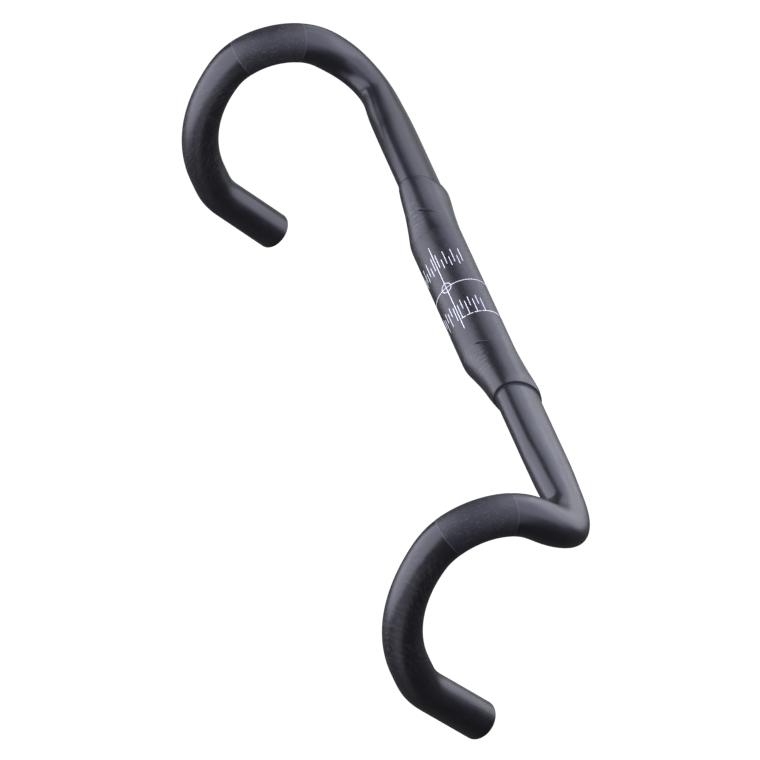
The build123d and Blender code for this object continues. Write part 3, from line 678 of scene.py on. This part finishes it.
def carbon_material(name, base=(0.0050, 0.0050, 0.0062), rough=0.34, grit=0.0, where="tube"):
    """Matte carbon laminate: fine fibre streaks, slanting ply strokes and, in places, swirled
    resin-rich wrinkles; grit adds the speckled anti-slip coating."""
    m, nt, b = new_mat(name)
    v1 = flow_coords(nt)
    streak = noise(nt, flow_coords(nt, (60, 2600, 2600)), 1.0, 3.0, 0.6)
    patch = noise(nt, flow_coords(nt, (45, 80, 80)), 1.0, 2.0, 0.5, 1.6)
    cloud = noise(nt, flow_coords(nt, (170, 210, 210)), 1.0, 5.0, 0.65, 2.2)
    slant = noise(nt, turned(nt, 38, (170, 900, 900)), 1.0, 3.0, 0.6, 0.6)
    # wrinkles: distorted bands, kept only in patches
    wv = nt.nodes.new("ShaderNodeTexWave")
    wv.wave_type, wv.bands_direction = "BANDS", "X" if where == "sleeve" else "DIAGONAL"
    wv.inputs["Scale"].default_value = 1.0
    wv.inputs["Distortion"].default_value = 22.0 if where == "sleeve" else 9.0
    wv.inputs["Detail"].default_value = 2.5
    wv.inputs["Detail Scale"].default_value = 0.42 if where == "sleeve" else 1.1
    nt.links.new(flow_coords(nt, (120, 120, 120) if where == "sleeve" else (130, 150, 150)), wv.inputs["Vector"])
    lines = ramp(nt, wv.outputs["Fac"], [(0.55, grey(0)), (0.95, grey(1))])
    xyz = separate(nt, v1)
    along = mathn(nt, "ABSOLUTE", xyz[0])
    if where == "sleeve":
        zone = mathn(nt, "MULTIPLY", window(nt, along, 0.044, 0.054, 0.068, 0.080), window(nt, xyz[2], -0.0125, -0.008, 0.002, 0.0065))
        zone = mathn(nt, "MULTIPLY", zone, window(nt, xyz[1], -0.040, -0.030, -0.004, 0.0))
        some = 1.0
    else:
        zone = window(nt, along, (S_BAND1 + TOPS_END + 4) * MM, (S_BAND1 + TOPS_END + 16) * MM, (S_RUN + TOPS_END - 22) * MM, (S_RUN + TOPS_END + 6) * MM)
        some = 0.55
    broken = ramp(nt, noise(nt, flow_coords(nt, (190, 230, 230)), 1.0, 2.0, 0.5, 0.8), [(0.36, grey(0)), (0.54, grey(1))])
    wrinkle = mathn(nt, "MULTIPLY", mathn(nt, "MULTIPLY", lines, broken), mathn(nt, "MULTIPLY", zone, some))
    strokes = mathn(nt, "MULTIPLY", ramp(nt, slant, [(0.56, grey(0)), (0.70, grey(1))]), mathn(nt, "ADD", mathn(nt, "MULTIPLY", zone, 0.75), 0.14))

    c0 = tuple(c * 0.70 for c in base) + (1,)
    c1 = tuple(c * 1.35 for c in base) + (1,)
    col = ramp(nt, streak, [(0.30, c0), (0.70, c1)])
    col = mix_rgb(nt, ramp(nt, cloud, [(0.42, grey(0)), (0.62, grey(0.45))]), col, tuple(c * 1.9 for c in base) + (1,))
    col = mix_rgb(nt, mathn(nt, "MULTIPLY", strokes, 0.65), col, (0.021, 0.021, 0.025, 1))
    col = mix_rgb(nt, mathn(nt, "MULTIPLY", wrinkle, 0.85), col, (0.050, 0.050, 0.057, 1) if where == "sleeve" else (0.032, 0.032, 0.037, 1))
    r = mathn(nt, "ADD", mathn(nt, "MULTIPLY", patch, 0.12), rough - 0.06)
    r = mathn(nt, "ADD", r, mathn(nt, "MULTIPLY", mathn(nt, "SUBTRACT", streak, 0.5), 0.08))
    r = mathn(nt, "ADD", r, mathn(nt, "MULTIPLY", mathn(nt, "SUBTRACT", cloud, 0.5), 0.14))
    r = mathn(nt, "ADD", r, mathn(nt, "MULTIPLY", wrinkle, 0.08))
    h = mathn(nt, "ADD", mathn(nt, "MULTIPLY", streak, 0.25), mathn(nt, "MULTIPLY", cloud, 0.5))
    h = mathn(nt, "ADD", h, mathn(nt, "ADD", mathn(nt, "MULTIPLY", wrinkle, 1.6), mathn(nt, "MULTIPLY", strokes, 0.8)))
    if grit:
        sp = nt.nodes.new("ShaderNodeTexVoronoi")
        sp.inputs["Scale"].default_value = 1250.0
        nt.links.new(v1, sp.inputs["Vector"])
        dots = ramp(nt, sp.outputs["Distance"], [(0.16, grey(1)), (0.40, grey(0))])
        pick = ramp(nt, separate(nt, sp.outputs["Color"])[0], [(0.52, grey(0)), (0.95, grey(1))])
        fine = noise(nt, flow_coords(nt, (1500, 1500, 1500)), 1.0, 3.0, 0.75)
        some = noise(nt, flow_coords(nt, (260, 260, 260)), 1.0, 2.0, 0.5)
        keep = ramp(nt, some, [(0.34, grey(0.25)), (0.62, grey(1))])
        dots = mathn(nt, "MULTIPLY", mathn(nt, "MULTIPLY", dots, pick), keep)
        grain = ramp(nt, noise(nt, flow_coords(nt, (2100, 2100, 2100)), 1.0, 2.0, 0.8), [(0.50, grey(0)), (0.72, grey(1))])
        col = mix_rgb(nt, mathn(nt, "MULTIPLY", mathn(nt, "MULTIPLY", grain, keep), min(1.0, 0.8 * grit)), col, (0.040, 0.040, 0.046, 1))
        col = mix_rgb(nt, mathn(nt, "MULTIPLY", dots, min(1.0, 0.95 * grit)), col, (0.075, 0.075, 0.085, 1))
        r = mathn(nt, "ADD", r, mathn(nt, "MULTIPLY", mathn(nt, "SUBTRACT", fine, 0.4), 0.30 * grit))
        h = mathn(nt, "ADD", h, mathn(nt, "ADD", mathn(nt, "MULTIPLY", dots, 3.0 * grit), mathn(nt, "MULTIPLY", fine, 3.4 * grit)))
    # the band is painted lighter along its two edges: a painted highlight on the film's raised edge
    if where == "band":
        col = mix_rgb(nt, mathn(nt, "MULTIPLY", attr_fac(nt, "edge"), 0.85), col, (0.040, 0.040, 0.046, 1))
    nt.links.new(col, b.inputs["Base Color"])
    nt.links.new(mathn(nt, "MINIMUM", mathn(nt, "MAXIMUM", r, 0.05), 0.95), b.inputs["Roughness"])
    bump = nt.nodes.new("ShaderNodeBump")
    bump.inputs["Strength"].default_value = 0.4 if not grit else 0.6
    bump.inputs["Distance"].default_value = 0.00005 if not grit else 0.00007
    nt.links.new(h, bump.inputs["Height"])
    nt.links.new(bump.outputs[0], b.inputs["Normal"])
    b.inputs["Specular IOR Level"].default_value = 0.5
    b.inputs["Specular Tint"].default_value = (0.89, 0.89, 1.0, 1)
    b.inputs["IOR"].default_value = 1.5
    return m


def ink_material():
    m, nt, b = new_mat("mark_ink")
    worn = noise(nt, flow_coords(nt, (1400, 1400, 1400)), 1.0, 3.0, 0.6)
    nt.links.new(ramp(nt, worn, [(0.30, (0.44, 0.45, 0.49, 1)), (0.60, (0.68, 0.69, 0.73, 1))]), b.inputs["Base Color"])
    nt.links.new(mathn(nt, "ADD", mathn(nt, "MULTIPLY", worn, 0.2), 0.35), b.inputs["Roughness"])
    return m


def epoxy_material():
    m, nt, b = new_mat("epoxy_line")
    n = noise(nt, flow_coords(nt, (700, 700, 700)), 1.0, 2.0, 0.6)
    nt.links.new(ramp(nt, n, [(0.3, (0.008, 0.008, 0.009, 1)), (0.7, (0.018, 0.018, 0.021, 1))]), b.inputs["Base Color"])
    nt.links.new(mathn(nt, "ADD", mathn(nt, "MULTIPLY", n, 0.25), 0.45), b.inputs["Roughness"])
    b.inputs["Specular IOR Level"].default_value = 0.32
    return m


# painted shade: dark, rough and barely reflecting, for the strips in the creases and on the sleeve's end edge
def painted_shade_material():
    m, nt, b = new_mat("painted_shade_dark")
    n = noise(nt, flow_coords(nt, (700, 700, 700)), 1.0, 2.0, 0.6)
    nt.links.new(ramp(nt, n, [(0.3, (0.005, 0.005, 0.006, 1)), (0.7, (0.010, 0.010, 0.012, 1))]), b.inputs["Base Color"])
    nt.links.new(mathn(nt, "ADD", mathn(nt, "MULTIPLY", n, 0.2), 0.7), b.inputs["Roughness"])
    b.inputs["Specular IOR Level"].default_value = 0.12
    return m


def wear_plain(ob, mat):
    ob.data.materials.clear()
    ob.data.materials.append(mat)


M_TUBE = carbon_material("carbon_tube")
M_SLEEVE = carbon_material("carbon_sleeve", rough=0.34, where="sleeve")
M_COAT = carbon_material("clamp_grit", rough=0.35, grit=0.4, where="sleeve")
M_BAND = carbon_material("lever_grit", rough=0.44, grit=1.0, where="band")
M_INK = ink_material()
M_EPOXY = epoxy_material()
M_PAINTED_SHADE = painted_shade_material()

SIDE_NODES = ("tops_tube", "shoulder_tube", "ramp_tube", "lever_seat_tube", "upper_hook_tube",
              "lower_hook_tube", "drop_bend_tube", "drop_end_tube")
for word, sg in (("left", 1), ("right", -1)):
    tube = build_side_tube(sg, word + "_side_tube")
    wear_plain(tube, M_TUBE)
    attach(tube, "root"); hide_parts(*[f"{word}_{n}" for n in SIDE_NODES])
    band = build_band(sg, word + "_lever_band_skin")
    wear_plain(band, M_BAND)
    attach(band, "root"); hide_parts(f"{word}_lever_grip_band")
    bond = build_bond(sg, word + "_bond_line")
    wear_plain(bond, M_EPOXY)
    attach(bond, "root"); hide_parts(f"{word}_bond_layer")
    # a thin dark strip on the sleeve's end edge: painted shade
    seam = build_seam_shade(sg, word + "_seam_painted_shade")
    wear_plain(seam, M_PAINTED_SHADE)
    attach(seam, "root")

sleeve = build_sleeve()
wear_plain(sleeve, M_SLEEVE)
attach(sleeve, "root"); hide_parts("centre_sleeve")
# dark strips in the sleeve's two deep creases: painted shade of the creases
fill = build_crease_shade("crease_painted_shade")
wear_plain(fill, M_PAINTED_SHADE)
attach(fill, "root")
coat = build_coating()
wear_plain(coat, M_COAT)
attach(coat, "root"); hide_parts("clamp_grip_coating")
for ob, nd in zip(build_marks(), ("centre_target_mark", "clamp_axis_mark", "centre_ring_mark", "side_ring_mark", "tilt_scale_marks")):
    wear_plain(ob, M_INK)
    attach(ob, "root"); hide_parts(nd)

# ------------------------------------------------------------ camera and stage
CAM_R = np.array([[0.311, 0.592, 0.744], [-0.682, -0.407, 0.608], [0.663, -0.696, 0.277]])
U_, _, V_ = np.linalg.svd(CAM_R)
CAM_R = U_ @ V_
F_PX, T_PX, CAM_D = 4340.2, (462.42, 299.05), 2540.9
O = CAM_R.T @ np.array([0, 0, CAM_D])
# turn the camera in place so that the picture's middle is on its axis
c_ax = np.array([(380 - T_PX[0]) / F_PX, -(380 - T_PX[1]) / F_PX, -1.0])
back = -(c_ax / np.linalg.norm(c_ax)) @ CAM_R
right = CAM_R[0] - back * float(CAM_R[0] @ back)
right /= np.linalg.norm(right)
upv = np.cross(back, right)
cam_data = bpy.data.cameras.new("camera")
cam_data.sensor_width = 36.0
cam_data.lens = 36.0 * F_PX * math.sqrt(c_ax[0]**2 + c_ax[1]**2 + 1) / 760.0
cam_data.clip_start, cam_data.clip_end = 0.05, 50.0
cam = bpy.data.objects.new("camera", cam_data)
bpy.context.scene.collection.objects.link(cam)
cam.matrix_world = Matrix(((right[0], upv[0], back[0], O[0] * MM), (right[1], upv[1], back[1], O[1] * MM),
                           (right[2], upv[2], back[2], O[2] * MM), (0, 0, 0, 1)))
bpy.context.scene.camera = cam


def softbox(name, az, el, dist, size, radiance, color):
    """A soft rectangular lamp at this direction from the bar, facing it."""
    a, e = math.radians(az), math.radians(el)
    u = Vector((math.cos(e) * math.cos(a), math.cos(e) * math.sin(a), math.sin(e)))
    d = bpy.data.lights.new(name, "AREA")
    d.shape = "ELLIPSE"
    d.size, d.size_y = size
    d.energy = radiance * math.pi * (math.pi * size[0] * size[1] / 4)
    d.color = color
    o = bpy.data.objects.new(name, d)
    bpy.context.scene.collection.objects.link(o)
    o.location = u * dist
    o.rotation_mode = "QUATERNION"
    o.rotation_quaternion = (-u).to_track_quat("-Z", "Y")
    o.visible_camera = False
    return o


# a wide lamp close overhead and one low in front, with softer ones behind, beside and below
softbox("overhead", 131.8, 88.0, 0.80, (2.07, 1.04), 3.12, (0.82, 0.83, 1.0))
softbox("overhead_back", 164.5, 39.0, 1.99, (1.27, 1.78), 1.74, (0.86, 0.89, 1.0))
softbox("near_top", 112.0, 44.0, 0.80, (0.90, 0.80), 2.42, (0.885, 0.905, 1.0))
softbox("front_low", -104.0, -33.0, 0.80, (1.72, 1.81), 4.09, (0.87, 0.88, 1.0))
softbox("front_fill", -5.0, -51.1, 2.02, (1.94, 1.33), 0.92, (0.95, 0.92, 1.0))
softbox("back_rim", 136.0, 3.5, 3.39, (0.99, 1.52), 0.41, (1.0, 1.0, 1.0))
softbox("side_fill", -43.4, 41.5, 0.80, (2.96, 0.85), 1.34, (0.84, 0.81, 1.0))

# pale paper floor, far below; lit evenly so that it reads as plain white
floor_me = bpy.data.meshes.new("floor")
S_, FZ = 14.0, -2.3
floor_me.from_pydata([(-S_, -S_, FZ), (S_, -S_, FZ), (S_, S_, FZ), (-S_, S_, FZ)], [], [(0, 1, 2, 3)])
floor = bpy.data.objects.new("floor", floor_me)
bpy.context.scene.collection.objects.link(floor)
fmat, fnt, fb = new_mat("floor_paper")
fb.inputs["Base Color"].default_value = (0.9, 0.9, 0.9, 1)
fb.inputs["Roughness"].default_value = 0.9
fb.inputs["Emission Color"].default_value = (1, 1, 1, 1)
fb.inputs["Emission Strength"].default_value = 1.0
wear_plain(floor, fmat)
floor.visible_glossy = False
floor.visible_diffuse = False

world = bpy.data.worlds.new("studio")
bpy.context.scene.world = world
world.use_nodes = True
wnt = world.node_tree
bg = wnt.nodes["Background"]
lp = wnt.nodes.new("ShaderNodeLightPath")
wm = wnt.nodes.new("ShaderNodeMix")
wm.data_type = "RGBA"
wm.inputs[6].default_value = (0.095, 0.094, 0.098, 1)
wm.inputs[7].default_value = (1, 1, 1, 1)
wnt.links.new(lp.outputs["Is Camera Ray"], wm.inputs[0])
wnt.links.new(wm.outputs[2], bg.inputs[0])
bg.inputs[1].default_value = 1.0
bpy.context.scene.view_settings.view_transform = "Standard"
